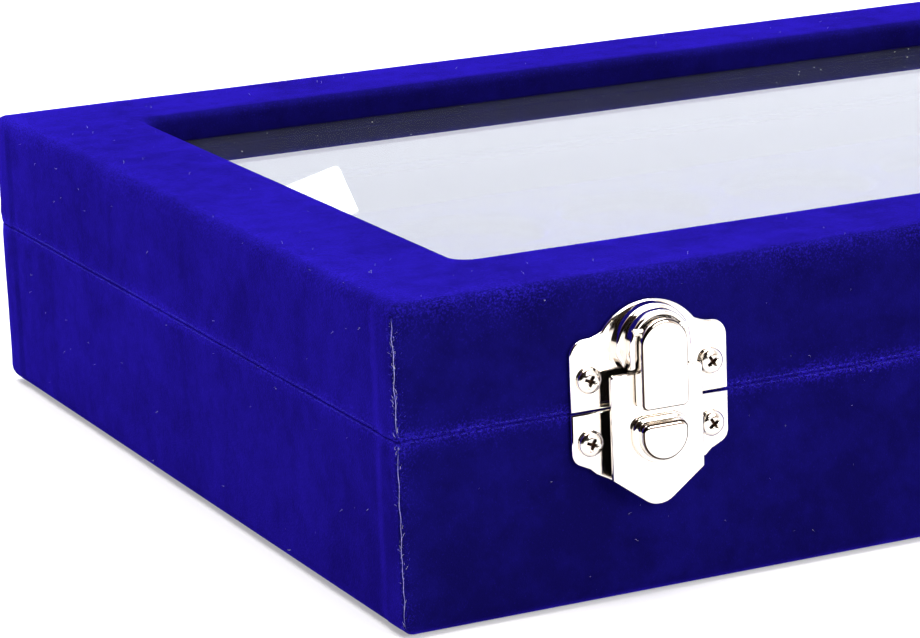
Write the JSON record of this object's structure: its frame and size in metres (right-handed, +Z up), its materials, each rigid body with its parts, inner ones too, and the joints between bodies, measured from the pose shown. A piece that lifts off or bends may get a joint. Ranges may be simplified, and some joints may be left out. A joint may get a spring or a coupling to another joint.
{
  "type": "coin display case",
  "caption": "Shallow velvet-covered display case with a pocketed coin insert, a hinged lid with a framed glass window, and toggle latches on the front.",
  "frame": {"origin": "centre of the case's underside, between the four walls, on the surface it stands on", "axes": "+X to the right when facing the latches, +Y towards the hinges at the rear, +Z up through the glass lid"},
  "size_m": [0.2, 0.1655, 0.045],
  "materials": {
    "velvet": "short-pile royal blue flocked velvet",
    "lining": "royal blue flocked lining paper",
    "fibreboard": "raw medium-density fibreboard",
    "foam": "white polyethylene foam",
    "glass": "clear float glass with cut edges",
    "nickel": "bright nickel plate on pressed steel",
    "screw": "nickel-plated cross-recess pan-head screw"
  },
  "bodies": {
    "base": {"base_bottom_sheet": "lining", "base_bottom_panel": "fibreboard", "base_front_wall": "fibreboard", "base_rear_wall": "fibreboard", "base_left_wall": "fibreboard", "base_right_wall": "fibreboard", "base_velvet_cover": "velvet", "base_lining": "lining", "insert_board": "fibreboard", "insert_foam_core": "foam", "insert_velvet_top": "velvet", "latch_keeper_left": "nickel", "latch_keeper_right": "nickel", "keeper_boss_left": "nickel", "keeper_boss_right": "nickel", "latch_base_screws": "screw", "hinge_base_leaf_left": "nickel", "hinge_base_leaf_right": "nickel", "hinge_pin_left": "nickel", "hinge_pin_right": "nickel", "hinge_base_screws": "screw"},
    "lid": {"lid_front_wall": "fibreboard", "lid_rear_wall": "fibreboard", "lid_left_wall": "fibreboard", "lid_right_wall": "fibreboard", "lid_front_board": "fibreboard", "lid_rear_board": "fibreboard", "lid_left_board": "fibreboard", "lid_right_board": "fibreboard", "lid_velvet_cover": "velvet", "lid_lining": "lining", "glass_pane": "glass", "glass_beads": "lining", "latch_lid_plate_left": "nickel", "latch_lid_plate_right": "nickel", "lever_pin_left": "nickel", "lever_pin_right": "nickel", "latch_lid_screws": "screw", "hinge_lid_leaf_left": "nickel", "hinge_lid_leaf_right": "nickel", "hinge_lid_screws": "screw"},
    "lever_left": {"latch_lever_left": "nickel"},
    "lever_right": {"latch_lever_right": "nickel"}
  },
  "joints": [
    {"name": "lid_hinge", "type": "hinge", "parent": "base", "child": "lid", "pos_m": [0, 0.0802, 0.027], "axis": [-1, 0, 0], "range_deg": [0, 110]},
    {"name": "lever_left_pivot", "type": "hinge", "parent": "lid", "child": "lever_left", "pos_m": [-0.0634, -0.0825, 0.0376], "axis": [-1, 0, 0], "range_deg": [0, 90]},
    {"name": "lever_right_pivot", "type": "hinge", "parent": "lid", "child": "lever_right", "pos_m": [0.0634, -0.0825, 0.0376], "axis": [-1, 0, 0], "range_deg": [0, 90]}
  ]
}
